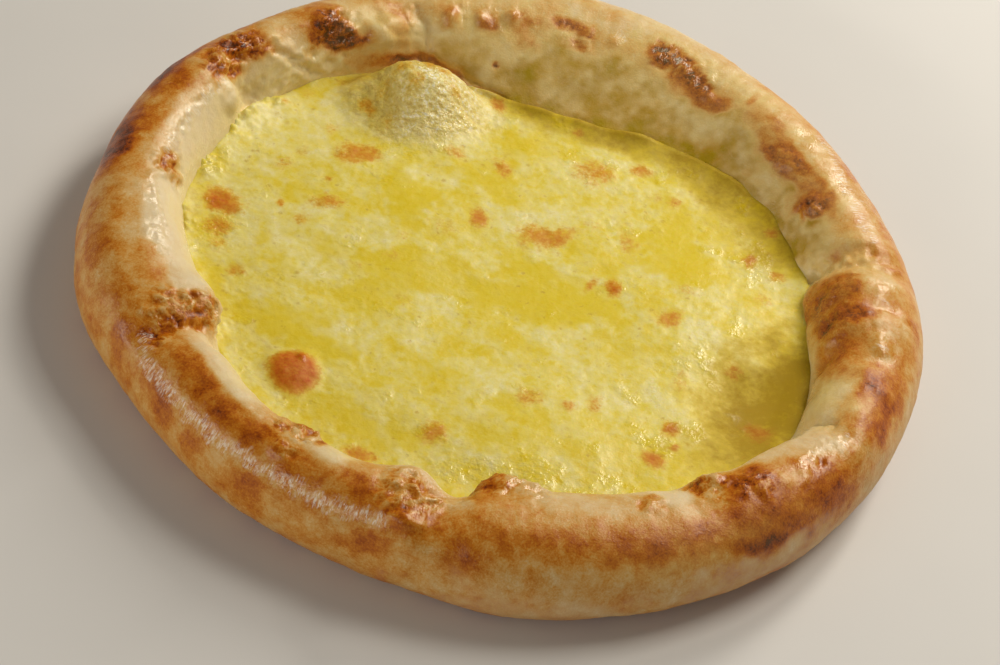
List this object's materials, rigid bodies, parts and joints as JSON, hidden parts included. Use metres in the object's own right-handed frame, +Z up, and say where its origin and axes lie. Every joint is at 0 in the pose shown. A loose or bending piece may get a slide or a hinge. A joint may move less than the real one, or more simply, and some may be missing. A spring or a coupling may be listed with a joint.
{
  "type": "cheese pide",
  "caption": "Round baked flatbread with a thick rolled rim and a well of melted cheese; a whole, uncut pide to stand on a plate or board.",
  "frame": {"origin": "middle of the flat underside of the bread, on the surface it rests on", "axes": "+Z up out of the cheese; +X to the right and +Y away from the viewer when the wide slope of the rim's inner wall is at the back"},
  "size_m": [0.274, 0.2768, 0.0354],
  "materials": {
    "crust": "golden-brown baked bread crust, buttered and glossy, browned in patches",
    "cheese": "melted cheese under melted butter, pale cream to yellow, moist and glossy"
  },
  "bodies": {
    "root": {"bread": "crust", "cheese": "cheese"}
  },
  "joints": []
}
